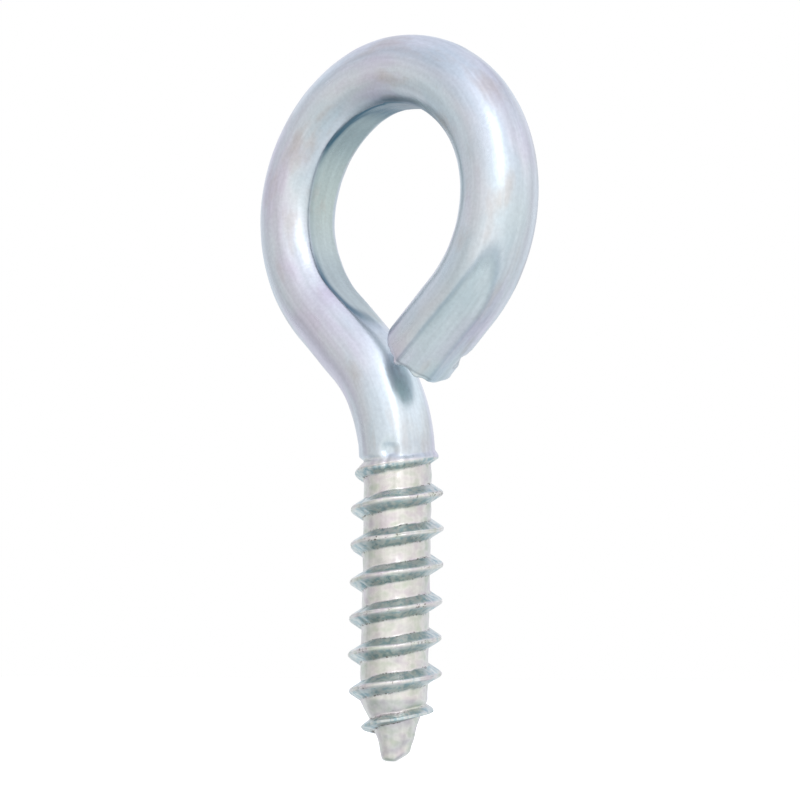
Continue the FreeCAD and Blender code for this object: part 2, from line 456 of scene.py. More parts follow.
@dataclass(frozen=True)
class Thread:
    """Rolled wood thread with a lead-in turn, a tapered point and a blunt nub.

    Places that end in _over are in turns wound down from the thread's start, or for the last turn
    from where it ends. The dies part along two lines, where dirt stays in the root's corners.
    """

    tip: float
    core: float = 3.38
    crest: float = 4.67
    pitch: float = 3.63
    crest_width: float = 0.34
    crest_round: float = 0.14
    base_width: float = 1.95
    fillet: float = 0.16
    start: float = -0.45
    first_crest: float = 4.16
    crest_grows_over: Span = (0.0, 1.10)
    first_sinks_over: Span = (-0.14, -0.34)
    first_sink: float = 1.0
    first_flank: float = 0.4
    first_flank_over: Span = (0.1, 0.7)
    opens_over: Span = (0.17, 0.38)
    darkens_over: Span = (0.25, 0.75)
    neck_bottom: float = -0.10
    core_top: float = -0.60
    taper_top: float = -24.4
    taper_bottom: float = -27.8
    nub: float = 1.84
    nub_slope: float = 0.16
    nub_blend: float = 0.5
    full_to: float = 6.25
    last_turn: float = 7.40
    last_crest: float = 3.35
    last_sinks_over: Span = (0.0, 0.22)
    last_sink: float = 2.2
    torn_flank: float = 6.0
    torn_over: Span = (-0.90, -0.55)
    paler_over: Span = (-1.05, -0.75)
    paler: float = 0.6
    partings: tuple[float, ...] = (math.radians(-118), math.radians(14))
    parting_width: float = math.radians(13)
    dirt: Window = Window((0.0, 0.03), (0.10, 0.22))
    wander: Unevenness = Unevenness(13, 0.030, 3.0, 0)
    crest_wave: Unevenness = Unevenness(11, 0.030, 2.4, 0)
    nicks: Unevenness = Unevenness(12, 0.07, 0.8, 0)
    nick_floor: float = 0.04
    fold_depth: float = 0.10
    fold_at: float = 0.02
    fold_width: float = 0.05
    fold_runs: Unevenness = Unevenness(14, 1.0, 5.0, 0)
    flank_scores: Unevenness = Unevenness(16, 0.011, 1.1, 0, 20)
    score_stretch: float = 6.0
    core_ripple: Unevenness = Unevenness(15, 0.020, 1.6, 7, 22)

    def core_at(self, height: np.ndarray, plain: np.ndarray, worked: np.ndarray) -> np.ndarray:
        """Radius of the bar under the thread.

        Args:
            height: heights along Z.
            plain: radius of the plain bar above the thread.
            worked: how far the dies have necked the bar there, from nought to one.

        Returns:
            The radii.
        """
        neck = plain + (self.core - plain) * worked
        fall = np.clip((self.taper_top - height) / (self.taper_top - self.taper_bottom), 0.0, None)
        taper = neck - (self.core - self.nub) * fall
        nub = self.nub - np.clip((self.taper_bottom - height) * self.nub_slope, 0.0, None)
        return soft_max(taper, nub, self.nub_blend)

    def crest_at(self, turns: np.ndarray) -> np.ndarray:
        """Read the crest's radius.

        Args:
            turns: turns wound down from the thread's start.

        Returns:
            The radii.
        """
        rise = (self.crest - self.first_crest) * ease(turns, *self.crest_grows_over)
        fall = (turns - self.full_to) / (self.last_turn - self.full_to)
        fall = (self.crest - self.last_crest) * np.clip(fall, 0.0, None)
        sink = self.first_sink * ease(turns, *self.first_sinks_over)
        sink = sink + self.last_sink * ease(turns - self.last_turn, *self.last_sinks_over)
        return self.first_crest + rise - fall - sink

    def ridge(self, turns: np.ndarray, wound: np.ndarray, offset: np.ndarray) -> np.ndarray:
        """Read the radius of the thread's ridge, whether or not the core covers it.

        Args:
            turns: turns wound down from the thread's start.
            wound: distances wound round the core.
            offset: heights above the nearest crest.

        Returns:
            The radii.
        """
        still = np.zeros_like(wound)
        slope = (self.crest - self.core) / ((self.base_width - self.crest_width) / 2)
        filled = self.first_flank + (1 - self.first_flank) * ease(turns, *self.first_flank_over)
        torn = 1 + (self.torn_flank - 1) * ease(turns - self.last_turn, *self.torn_over)
        slope = slope * np.where(offset > 0, filled, torn)
        past = np.abs(offset) - self.crest_width / 2
        past = soft_max(past, np.zeros_like(offset), self.crest_round)
        crest = self.crest_at(turns) + self.crest_wave.at(wound, still)
        crest = crest + np.minimum(self.nicks.at(wound, still) + self.nick_floor, 0.0)
        fold = self.fold_depth * np.exp(-(((offset - self.fold_at) / self.fold_width) ** 2))
        fold *= ease(self.fold_runs.at(wound, still), -0.2, 0.5)
        scores = self.flank_scores.at(wound, offset * self.score_stretch)
        return crest - fold - slope * past + scores

    def radius(
        self, angle: np.ndarray, height: np.ndarray, plain: np.ndarray
    ) -> tuple[np.ndarray, Fields]:
        """Read the threaded surface.

        Args:
            angle: angles round the shank, in radians from +X.
            height: heights along Z.
            plain: radius of the plain bar there.

        Returns:
            The radii, and the finish's fields there.
        """
        climb = (height - self.start) / self.pitch - angle / TURN
        offset = (climb - np.round(climb)) * self.pitch
        turns = (self.start - (height - offset)) / self.pitch
        wound = turns * TURN * self.core
        offset = offset + self.wander.at(wound, np.zeros_like(wound))
        upper = offset > 0
        worked = ease(height, self.neck_bottom, self.core_top)
        worked = worked * np.where(upper, ease(turns, *self.opens_over), 1.0)
        core = self.core_at(height, plain, worked)
        core = core + self.core_ripple.at(height, angle) * worked
        ridge = self.ridge(turns, wound, offset)
        radius = soft_max(core, ridge, self.fillet * (0.3 + 0.7 * worked))
        lift = np.clip((radius - core) / (self.crest - self.core), 0.0, 1.0)
        grime = self.dirt.at(lift) * worked * sum(
            np.exp(-((turned_from(angle, place) / self.parting_width) ** 2))
            for place in self.partings
        )
        lift = lift * np.where(upper, ease(turns, *self.darkens_over), 1.0)
        lift = lift * (1 - self.paler * ease(turns - self.last_turn, *self.paler_over))
        return radius, {"thread_lift": lift, "grime": grime}

    def rows(self) -> np.ndarray:
        """Space the mesh rows, closest round the crest and at the foot of each flank.

        Returns:
            Their heights over one pitch, measured from the crest.
        """
        half = self.base_width / 2
        tip = self.crest_width / 2
        down = np.concatenate([
            np.linspace(0.0, tip - 0.06, 3),
            np.linspace(tip, tip + 0.06, 2),
            np.linspace(tip + 0.16, half - 0.12, 6),
            np.linspace(half - 0.04, half + 0.12, 3),
            np.linspace(half + 0.25, self.pitch / 2, 5)[:-1],
        ])
        return np.concatenate([[-self.pitch / 2], -down[:0:-1], down])


@dataclass
class MeshData:
    """Vertices, faces and per-vertex fields gathered while the bar is built.

    Each field runs from nought to one: thread_lift is the height up the thread, grime the dirt held
    in the root's corners, rubbed how hard a tool pressed, the fourth the painted shade along the
    tools' edges and creases, and the fifth the painted light on the neck beside the sheared end.
    """

    spots: list[np.ndarray] = field(default_factory=list)
    unbent: list[np.ndarray] = field(default_factory=list)
    fields: dict[str, list[np.ndarray]] = field(
        default_factory=lambda: {name: [] for name in FIELDS}
    )
    faces: list[tuple[int, ...]] = field(default_factory=list)
    count: int = 0

    def add(self, spots: np.ndarray, unbent: np.ndarray, fields: Fields) -> np.ndarray:
        """Add vertices.

        Args:
            spots: places in the bent bar.
            unbent: the same points in the straight bar before bending.
            fields: the fields that are not nought there, by name.

        Returns:
            The new vertices' numbers.
        """
        first = self.count
        self.spots.append(spots)
        self.unbent.append(unbent)
        for name, values in self.fields.items():
            values.append(fields.get(name, np.zeros(len(spots))))
        self.count += len(spots)
        return np.arange(first, self.count)

    def join(self, *corners: np.ndarray) -> None:
        """Add faces, leaving out corners that repeat and faces that this shrinks to a line.

        Args:
            corners: the faces' first vertices, their second vertices, and so on.
        """
        for face in zip(*corners):
            kept = tuple(dict.fromkeys(int(number) for number in face))
            if len(kept) > 2:
                self.faces.append(kept)

    def band(self, lower: np.ndarray, upper: np.ndarray) -> None:
        """Join two closed rings of vertices, either of which may be one vertex repeated."""
        self.join(lower, np.roll(lower, -1), np.roll(upper, -1), upper)

    def mesh(self, name: str) -> bpy.types.Mesh:
        """Make the mesh in metres, with its fields as attributes.

        Args:
            name: the mesh's name.

        Returns:
            The mesh.
        """
        made = bpy.data.meshes.new(name)
        made.from_pydata((np.concatenate(self.spots) * MM).tolist(), [], self.faces)
        straight = (np.concatenate(self.unbent) * MM).astype(np.float32)
        unbent = made.attributes.new("unbent", "FLOAT_VECTOR", "POINT")
        unbent.data.foreach_set("vector", straight.ravel())
        for label, values in self.fields.items():
            layer = made.attributes.new(label, "FLOAT", "POINT")
            layer.data.foreach_set("value", np.concatenate(values).astype(np.float32))
        made.shade_smooth()
        made.validate()
        return made


@dataclass
class ScrewEye:
    """The whole bar as one closed mesh.

    Windows on the painted shade are measured along the bar: crown, roof and run from the top of the
    eye, and low from where its circle starts. Those on push are in millimetres pressed in.
    """

    bend: Bend
    thread: Thread
    land_radius: float
    bar_radius: float = BAR_RADIUS
    segments: int = 160
    station_gap: float = 0.5
    thread_top: float = 1.1
    snap: float = 0.02
    ripples: tuple[Unevenness, ...] = (
        Unevenness(3, 0.014, 9.0, 3),
        Unevenness(4, 0.005, 2.5, 9, 24),
        Unevenness(5, 0.018, 45.0, 7),
    )
    ripple_room: float = 0.01
    pocks: tuple[Pock, ...] = (Pock(0.26, math.radians(-59.5), 1.15, 0.27, 0.02),)
    full_push: float = 0.12
    grip_rub: float = 0.6
    crease_push: Window = Window((0.0, 0.05), (0.05, 0.26))
    edge_push: Window = Window((0.0, 0.03), (0.10, 0.48))
    floor_push: Span = (0.0, 0.10)
    front_side: Span = (0.4, -0.4)
    edge_shade: float = 0.25
    crown: Window = Window((-15.5, -8.0), (4.0, 13.0))
    crown_edge: float = 1.2
    crown_floor: float = 0.22
    low: Window = Window((-6.5, -3.0), (1.0, 8.0), 0.8)
    roof: Window = Window((-7.0, -1.0), (6.0, 15.0), 0.95)
    run: Window = Window((-5.0, 2.0), (9.0, 24.0), 0.75)
    run_facing: float = math.radians(-34)
    run_width: float = math.radians(9)
    # Place and size of the painted light on the neck beside the sheared end.
    light_patch_drop: float = 0.5
    light_patch_length: float = 4.4
    light_patch_width: float = 2.6
    nub_top: float = -27.95
    nub_round: float = 0.38
    nub_rough: Unevenness = Unevenness(21, 0.022, 1.5, 5, 22)
    crop_towards: float = math.radians(35)
    crop_lift: float = 0.75
    end_round: float = 0.58
    end_rolled: float = 0.70
    end_rolled_at: float = math.radians(318)
    end_slant: float = 0.34
    end_slant_at: float = math.radians(262)
    end_wave: Unevenness = Unevenness(32, 0.07, 60.0, 11, 26)
    end_rough: Unevenness = Unevenness(31, 0.07, 1.4, 4, 20)
    end_room: float = 0.3
    lip: float = 0.22
    lip_turned: float = math.radians(50)
    lip_width: float = math.radians(11)
    lip_at: float = math.radians(234)
    burr: Unevenness = Unevenness(33, 0.132, 60.0, 20, 40)
    land: Flat = field(init=False)
    flats: list[Flat] = field(init=False)
    touch_at: float = field(init=False)
    touch_facing: float = field(init=False)

    def __post_init__(self) -> None:
        """Lay out the tool marks, which depend on where the bends lie."""
        start, top, end = self.bend.ring_at, self.bend.top_at, self.bend.end_at
        leaves = end - self.bend.end_length
        depth = self.land_radius - (self.bend.ring_radius - self.bar_radius)
        self.land = Flat(0.0, depth, start - 1.5, leaves, 6.0, 4.5, 0.14, Fade.SHALLOWING)
        stroke_end = top + self.bend.ring_radius * math.radians(31)
        self.flats = [
            # The bender's jaw held the closing end in front; painted shade lies along its crease.
            Flat(math.radians(225), 0.50, end - 7.0, end, 13.0, 1.0, 0.17, crease_shade=0.32),
            # Its other jaw left a faint mark outside.
            Flat(math.radians(172), 0.12, end - 6.0, end, 7.0, 1.0, 0.16),
            # The shear nicked the bar on its way through.
            Flat(math.radians(146), 0.40, end - 3.3, end - 2.4, 1.3, 0.9),
            # The bending roller stopped here for a moment.
            Flat(math.radians(180), 0.06, stroke_end, stroke_end + 0.8, 0.6, 3.0),
        ]
        self.touch_at, self.touch_facing = self.touching()

    def plain_section(
        self, along: np.ndarray, angle: np.ndarray
    ) -> tuple[np.ndarray, np.ndarray, Fields]:
        """Shape the bar's section with its flats and dents.

        Args:
            along: distances along the bar.
            angle: angles round it from the inner side, in radians.

        Returns:
            Section coordinates towards the eye's middle and to the back, and the finish's fields.
        """
        radius = self.bar_radius - self.ripple_room
        radius = radius + sum(ripple.at(along, angle) for ripple in self.ripples)
        for pock in self.pocks:
            radius = radius + pock.height(along, angle, self.bar_radius)
        inner, side = radius * np.cos(angle), radius * np.sin(angle)
        reach = self.bar_radius - self.bend.flattening(along)
        inner, side, push = self.land.press(along, inner, side, reach)
        rubbed = np.clip(push / self.full_push, 0.0, 1.0)
        # Painted shade along the mandrel band's edges, and over the band at the top of the eye.
        pooled = self.painted_shade_at(along, angle, side, push)
        for flat in self.flats:
            inner, side, push = flat.press(along, inner, side, self.bar_radius)
            rub = self.grip_rub * np.clip(push / self.full_push, 0.0, 1.0)
            rubbed = np.maximum(rubbed, rub)
            # Painted shade along each jaw's crease.
            pooled = np.maximum(pooled, flat.crease_shade * self.crease_push.at(push))
        # Painted light on the neck beside the sheared end.
        shielded = self.painted_light_at(along, angle)
        return inner, side, {"rubbed": rubbed, "pooled": pooled, "shielded": shielded}

    def touching(self) -> tuple[float, float]:
        """Find where the neck comes nearest to the sheared end.

        Returns:
            Distance along the bar, and the angle round it from the inner side.
        """
        stations = np.linspace(0.0, self.bend.ring_at, 240)
        centre, inward, back = self.bend.at(stations)
        tip, _, _ = self.bend.at(np.array([self.bend.end_at]))
        apart = tip - centre
        nearest = int(np.argmin(np.linalg.norm(apart, axis=1)))
        gap = apart[nearest]
        facing = math.atan2(float(gap @ back[nearest]), float(gap @ inward[nearest]))
        return float(stations[nearest]), facing

    def painted_shade_at(
        self, along: np.ndarray, angle: np.ndarray, side: np.ndarray, push: np.ndarray
    ) -> np.ndarray:
        """Read the painted shade along the mandrel's band.

        It is painted shade, darkest along the front edge of the mandrel's band, most of all at the
        top of the eye and low on the neck, and it runs on beside that edge down the closing half.
        It also covers the band itself at the top of the eye.

        Args:
            along: distances along the bar.
            angle: angles round it from the inner side, in radians.
            side: section coordinates to the back.
            push: how far the mandrel pressed each point in.

        Returns:
            Shade, from nought to one.
        """
        past_top = along - self.bend.top_at
        crown = self.crown.at(past_top)
        edge = self.edge_push.at(push) * ease(side, *self.front_side)
        low = self.low.at(along - self.bend.ring_at)
        edge = edge * (self.edge_shade + self.crown_edge * crown + low)
        floor = ease(push, *self.floor_push)
        floor = floor * (self.crown_floor * crown + self.roof.at(past_top))
        beside = turned_from(angle, self.run_facing) / self.run_width
        run = self.run.at(past_top) * np.exp(-(beside ** 2))
        return np.clip(edge + floor + run, 0.0, 1.0)

    def painted_light_at(self, along: np.ndarray, angle: np.ndarray) -> np.ndarray:
        """Read the painted light on the neck beside the sheared end, lightening the shade reflected
        there.

        Args:
            along: distances along the bar.
            angle: angles round it from the inner side, in radians.

        Returns:
            Painted light, from nought to one.
        """
        beyond = (along - self.touch_at + self.light_patch_drop) / self.light_patch_length
        across = turned_from(angle, self.touch_facing) * self.bar_radius / self.light_patch_width
        return np.exp(-(beyond ** 2) - across ** 2)

    def next_ring(
        self,
        data: MeshData,
        lower: np.ndarray,
        along: float,
        angle: np.ndarray,
        scale: np.ndarray | float,
        shift: np.ndarray,
    ) -> np.ndarray:
        """Add one ring of the plain bar and join it to the last.

        Args:
            data: the mesh so far.
            lower: the last ring's vertex numbers.
            along: the ring's distance along the bar.
            angle: angles round the bar.
            scale: how far the ring is drawn in towards the centreline.
            shift: how far each point is moved on along the bar.

        Returns:
            The ring's vertex numbers.
        """
        place = np.full_like(angle, along)
        inner, side, fields = self.plain_section(place, angle)
        inner, side = inner * scale, side * scale
        centre, inward, back = self.bend.at(place + shift)
        spots = centre + inner[:, None] * inward + side[:, None] * back
        unbent = np.stack([inner, side, place + shift], axis=-1)
        ring = data.add(spots, unbent, fields)
        data.band(lower, ring)
        return ring

    def shank_ring(
        self,
        data: MeshData,
        angle: np.ndarray,
        height: np.ndarray,
        radius: np.ndarray,
        fields: Fields,
    ) -> np.ndarray:
        """Add points of the shank by their radius.

        Args:
            data: the mesh so far.
            angle: angles round the shank.
            height: heights along Z.
            radius: radii from the shank's own, slightly bowed, axis.
            fields: the finish's fields there.

        Returns:
            The points' vertex numbers.
        """
        centre, _, _ = self.bend.at(height)
        x, y = radius * np.cos(angle), radius * np.sin(angle)
        around = np.stack([x, y, np.zeros_like(height)], axis=-1)
        unbent = around + height[:, None] * np.array([0.0, 0.0, 1.0])
        return data.add(centre + around, unbent, fields)

    def thread_ring(self, data: MeshData, angle: np.ndarray, height: np.ndarray) -> np.ndarray:
        """Add points of the threaded surface.

        Args:
            data: the mesh so far.
            angle: angles round the shank.
            height: heights along Z.

        Returns:
            The points' vertex numbers.
        """
        inner, side, _ = self.plain_section(height, angle)
        radius, fields = self.thread.radius(angle, height, np.hypot(inner, side))
        return self.shank_ring(data, angle, height, radius, fields)

    def add_thread(self, data: MeshData, angle: np.ndarray) -> tuple[np.ndarray, np.ndarray]:
        """Add the threaded surface, its rows wound along the helix.

        Args:
            data: the mesh so far.
            angle: angles round the shank.

        Returns:
            The rings at the bottom and at the top of the thread.
        """
        rows = self.thread.rows()
        per_pitch = len(rows)
        pitch = self.thread.pitch
        lowest = math.floor((self.nub_top - self.thread.start) / pitch) - 1
        highest = math.ceil((self.thread_top - self.thread.start) / pitch) + 1
        heights = np.concatenate([
            self.thread.start + turn * pitch + rows for turn in range(lowest, highest)
        ])
        bottom = self.thread_ring(data, angle, np.full_like(angle, self.nub_top))
        top = self.thread_ring(data, angle, np.full_like(angle, self.thread_top))
        grid = np.zeros((self.segments + 1, len(heights)), dtype=int)
        for column, turned in enumerate(angle):
            level = heights + pitch * turned / TURN
            below = level <= self.nub_top + self.snap
            above = level >= self.thread_top - self.snap
            inside = ~(below | above)
            around = np.full(inside.sum(), turned)
            grid[column, inside] = self.thread_ring(data, around, level[inside])
            grid[column, below] = bottom[column]
            grid[column, above] = top[column]
        grid[self.segments, :-per_pitch] = grid[0, per_pitch:]
        grid[self.segments, -per_pitch:] = top[0]
        for left, right in zip(grid[:-1], grid[1:]):
            data.join(left[:-1], right[:-1], right[1:], left[1:])
        return bottom, top

    def add_nub(self, data: MeshData, bottom: np.ndarray, angle: np.ndarray) -> None:
        """Add the blunt, cropped nub under the last turn.

        Args:
            data: the mesh so far.
            bottom: the thread's lowest ring.
            angle: angles round the shank.
        """
        tip = self.thread.tip
        shoulder = tip + self.nub_round
        crop = self.crop_lift * np.clip(np.cos(angle - self.crop_towards), 0.0, None)
        upper = bottom
        for level in np.linspace(self.nub_top, shoulder, 16)[1:]:
            height = np.full_like(angle, level)
            radius = self.thread.core_at(height, height, np.ones_like(height))
            radius = radius + self.nub_rough.at(height, angle)
            lifted = height + crop * ease(height, self.nub_top, tip)
            ring = self.shank_ring(data, angle, lifted, radius, {})
            data.band(ring, upper)
            upper = ring
        base = float(self.thread.core_at(np.array([shoulder]), self.bar_radius, 1.0)[0])
        for share in (0.95, 0.86, 0.70, 0.48, 0.24):
            height = np.full_like(angle, shoulder - self.nub_round * math.sqrt(1 - share ** 4))
            radius = share * (base + self.nub_rough.at(height, angle))
            ring = self.shank_ring(data, angle, height + crop * share, radius, {})
            data.band(ring, upper)
            upper = ring
        centre = self.shank_ring(data, np.zeros(1), np.full(1, tip), np.zeros(1), {})
        data.band(np.full_like(upper, centre[0]), upper)

    def add_bar(self, data: MeshData, top: np.ndarray, angle: np.ndarray) -> None:
        """Add the neck, the eye and the sheared end above the thread.

        Args:
            data: the mesh so far.
            top: the thread's highest ring.
            angle: angles round the bar.
        """
        end = self.bend.end_at
        still = np.zeros_like(angle)
        rolled = np.clip(np.cos(angle - self.end_rolled_at), 0.0, None) ** 2
        rounding = self.end_round + self.end_rolled * rolled
        slant = self.end_slant * np.cos(angle - self.end_slant_at)
        slant = slant + self.end_wave.at(still, angle)
        deepest = self.end_round + self.end_rolled + self.end_slant + self.end_room
        straight_to = end - deepest
        count = round((straight_to - self.thread_top) / self.station_gap)
        lower = top
        for along in np.linspace(self.thread_top, straight_to, count + 1)[1:]:
            lower = self.next_ring(data, lower, along, angle, 1.0, still)
        rim_starts = deepest + slant - rounding
        for share in (0.34, 0.67, 1.0):
            lower = self.next_ring(data, lower, straight_to, angle, 1.0, rim_starts * share)
        lip = np.clip(self.lip + self.burr.at(still, angle), 0.0, None)
        lip = lip * np.clip(np.cos(angle - self.lip_at), 0.0, None) ** 4
        for turned in np.radians([10, 20, 30, 38, 46, 54, 62, 71, 90]):
            ridge = lip * math.exp(-((turned - self.lip_turned) / self.lip_width) ** 2)
            shift = slant - rounding * (1 - math.sin(turned)) + 0.5 * ridge
            scale = 1 + (ridge - rounding * (1 - math.cos(turned))) / self.bar_radius
            lower = self.next_ring(data, lower, end, angle, scale, shift)
        rim = 1 - rounding / self.bar_radius
        for share in (0.92, 0.8, 0.65, 0.5, 0.34, 0.17):
            rough = self.end_rough.at(np.full_like(angle, share * 6), angle)
            shift = slant * share + rough * (1 - share) * 2
            lower = self.next_ring(data, lower, end, angle, rim * share, shift)
        centre, _, _ = self.bend.at(np.array([end]))
        middle = data.add(centre, np.array([[0.0, 0.0, end]]), {})
        data.band(lower, np.full_like(lower, middle[0]))

    def build(self) -> bpy.types.Object:
        """Build the bar and link it to the scene.

        Returns:
            The object.
        """
        angle = np.arange(self.segments) * TURN / self.segments
        data = MeshData()
        bottom, top = self.add_thread(data, angle)
        self.add_nub(data, bottom, angle)
        self.add_bar(data, top, angle)
        piece = bpy.data.objects.new("zinc_screw_eye", data.mesh("zinc_screw_eye"))
        bpy.context.scene.collection.objects.link(piece)
        return piece


def add_node(
    tree: bpy.types.NodeTree, kind: str, settings: dict | None = None, links: dict | None = None
) -> bpy.types.Node:
    """Add a node with its settings and incoming links.

    Args:
        tree: the node tree.
        kind: the node's type name.
        settings: the node's own properties by name, or socket values by socket name or number.
        links: outgoing sockets by the socket name or number that they feed.

    Returns:
        The new node.
    """
    node = tree.nodes.new(kind)
    for key, value in (settings or {}).items():
        if isinstance(key, str) and hasattr(node, key):
            setattr(node, key, value)
        else:
            node.inputs[key].default_value = value
    for key, source in (links or {}).items():
        tree.links.new(source, node.inputs[key])
    return node


def between(
    tree: bpy.types.NodeTree,
    value: Socket,
    start: float,
    end: float,
    least: float = 0.0,
    most: float | Socket = 1.0,
    curve: Curve = Curve.STRAIGHT,
) -> Socket:
    """Map a value from one range to another and hold it there.

    Args:
        tree: the node tree.
        value: the value.
        start: where the range starts.
        end: where it ends.
        least: result at its start.
        most: result at its end. With a socket here and nought as the least, the step masks it.
        curve: how the result moves in between.

    Returns:
        The mapped value.
    """
    limits = {"From Min": start, "From Max": end, "To Min": least}
    fixed, fed = ({}, {"To Max": most}) if isinstance(most, Socket) else ({"To Max": most}, {})
    settings = {"interpolation_type": curve.value, **limits, **fixed}
    node = add_node(tree, "ShaderNodeMapRange", settings, {"Value": value, **fed})
    return node.outputs["Result"]


def ramp(tree: bpy.types.NodeTree, value: Socket, stops: Stops) -> Socket:
    """Turn a value into a colour.

    Args:
        tree: the node tree.
        value: the value.
        stops: each colour and the value that gives it, in rising order.

    Returns:
        The colour.
    """
    node = add_node(tree, "ShaderNodeValToRGB", links={"Fac": value})
    elements = node.color_ramp.elements
    while len(elements) < len(stops):
        elements.new(1.0)
    for element, (place, colour) in zip(elements, stops):
        element.position = place
        element.color = colour
    return node.outputs["Color"]


@dataclass(frozen=True)
class BlueChromatedZinc:
    """Bright zinc electroplate with a clear-blue chromate, over cold-drawn steel wire.

    The plating is a satin mirror. The chromate gives it faint clouds of lilac, sky blue and green,
    and looks warmer and more mottled where the thread was rolled. Painted shade darkens it along
    the tools' edges and creases and partly on the thread's flanks, and painted light brightens the
    neck beside the sheared end.
    The patterns' sizes are across the bar. The drawn lines are coarser than on real wire, so that
    they still show when the whole bolt is in view.
    """

    base: str = "#C8D0D5"
    lilac: str = "#C6C6D1"
    sky: str = "#BFCDD3"
    mandrel: str = "#B1C0BE"
    # Painted shade along the tools' edges and creases, and painted light on the neck beside the
    # sheared end.
    pooled: str = "#44697A"
    shielded: str = "#DDEEF0"
    root: str = "#D2D3CE"
    root_green: str = "#BFC7BA"
    root_lilac: str = "#C8C4C6"
    flank: str = "#CAD2CE"
    flank_streaks_and_shade: str = "#A1B9BC"
    stain: str = "#B9B3AD"
    dirt: str = "#6C6860"
    roughness: float = 0.31
    cloud_mm: float = 5.0
    patch_mm: float = 2.2
    drawn_band_mm: float = 1.7
    drawn_line_mm: float = 0.45
    rolled_patch_mm: float = 1.3
    streak_mm: float = 0.5
    grain_mm: float = 0.35
    speck_mm: float = 0.22
    relief_mm: float = 0.02
    thread_from_mm: float = -0.3
    thread_by_mm: float = -0.9
    torn_from_mm: float = -25.8
    torn_by_mm: float = -26.4

    def noise(
        self, tree: bpy.types.NodeTree, where: Socket, size: float, stretch: float, detail: float
    ) -> Socket:
        """Add a noise measured in millimetres of the straight bar.

        Args:
            tree: the node tree.
            where: the point in the straight bar, in metres.
            size: size of the pattern across the bar, in millimetres.
            stretch: how many times longer the pattern is along the bar.
            detail: octaves of finer detail.

        Returns:
            The noise, from nought to one.
        """
        scale = (1 / MM, 1 / MM, 1 / MM / stretch)
        placed = add_node(tree, "ShaderNodeMapping", {"Scale": scale}, {"Vector": where})
        settings = {"Scale": 1 / size, "Detail": detail}
        links = {"Vector": placed.outputs["Vector"]}
        return add_node(tree, "ShaderNodeTexNoise", settings, links).outputs["Fac"]

    def within(
        self, tree: bpy.types.NodeTree, share: Socket, *steps: tuple[Socket, float, float]
    ) -> Socket:
        """Keep a share only where other values have passed their steps.

        Args:
            tree: the node tree.
            share: the share, from nought to one.
            steps: each value, where its step starts and where it is complete.

        Returns:
            What is left of the share.
        """
        for value, start, end in steps:
            share = between(tree, value, start, end, 0.0, share)
        return share

    def material(self) -> bpy.types.Material:
        """Make the plated finish.

        Returns:
            The material.
        """
        made = bpy.data.materials.new("zinc_plated_steel_clear_blue_chromate")
        made.use_nodes = True
        tree = made.node_tree
        shader = tree.nodes["Principled BSDF"]
        step = partial(between, tree)
        within = partial(self.within, tree)
        bar = add_node(tree, "ShaderNodeAttribute", {"attribute_name": "unbent"}).outputs["Vector"]
        lift, grime, rubbed, pooled, shielded = [
            add_node(tree, "ShaderNodeAttribute", {"attribute_name": name}).outputs["Fac"]
            for name in FIELDS
        ]
        height = add_node(tree, "ShaderNodeSeparateXYZ", links={"Vector": bar}).outputs["Z"]
        noise = partial(self.noise, tree, bar)
        clouds = noise(self.cloud_mm, 2.5, 3.0)
        patches = noise(self.patch_mm, 2.5, 4.0)
        lines = noise(self.drawn_line_mm, 16.0, 2.0)
        bands = noise(self.drawn_band_mm, 22.0, 2.0)
        rolled = noise(self.rolled_patch_mm, 0.7, 1.5)
        streaks = noise(self.streak_mm, 4.0, 3.0)
        grain = noise(self.grain_mm, 1.0, 3.0)
        specks = noise(self.speck_mm, 1.0, 2.0)

        threaded = step(height, self.thread_from_mm * MM, self.thread_by_mm * MM)
        flank = within(step(lift, 0.04, 0.14), (lift, 0.95, 0.80))
        corner = within(step(lift, 0.0, 0.015), (lift, 0.16, 0.06))
        torn_turn = step(height, self.torn_from_mm * MM, self.torn_by_mm * MM)
        # Faint clouds of colour in the clear film, over the whole bar.
        clouded = ((0.38, self.lilac), (0.5, self.base), (0.62, self.sky))
        colour = ramp(tree, clouds, tuple((place, linear(tint)) for place, tint in clouded))
        for share, over in (
            # The mandrel and the jaws burnished the bar, which dulls it towards green.
            (step(rubbed, 0.3, 1.0), self.mandrel),
            # Warm stains a few millimetres across, half strength at most.
            (step(patches, 0.56, 0.72, 0.0, 0.5), self.stain),
            # Painted light: paler zinc on the neck beside the sheared end, lightening the shade
            # reflected there.
            (shielded, self.shielded),
            # Painted shade in dark slate blue along the tools' edges and creases and at the top of
            # the eye, thinner along the drawn lines.
            (step(pooled, 0.0, 1.0, 0.0, step(lines, 0.3, 0.6, 0.8, 1.0)), self.pooled),
            # Rolled steel is warmer, with green and lilac mottling.
            (threaded, self.root),
            (within(threaded, (rolled, 0.50, 0.72)), self.root_green),
            (within(threaded, (rolled, 0.50, 0.28)), self.root_lilac),
            # The flanks show the dies' streaks in a darker teal, partly real streaks and partly
            # painted shade standing in for the shade between the turns.
            (flank, self.flank),
            (within(flank, (streaks, 0.45, 0.62)), self.flank_streaks_and_shade),
            # Dark specks in the root's corners, in patches, and along the dies' partings.
            (within(threaded, (corner, 0.0, 1.0), (specks, 0.53, 0.62), (patches, 0.42, 0.58)),
             self.dirt),
            (within(grime, (specks, 0.48, 0.60)), self.dirt),
            # Specks round the torn last turn, and along the nicked crests.
            (within(torn_turn, (corner, 0.0, 1.0), (specks, 0.46, 0.56)), self.dirt),
            (within(step(lift, 0.86, 0.97), (specks, 0.56, 0.64), (patches, 0.48, 0.6)), self.dirt),
        ):
            mix = {"data_type": "RGBA", 7: linear(over)}
            colour = add_node(tree, "ShaderNodeMix", mix, {0: share, 6: colour}).outputs[2]
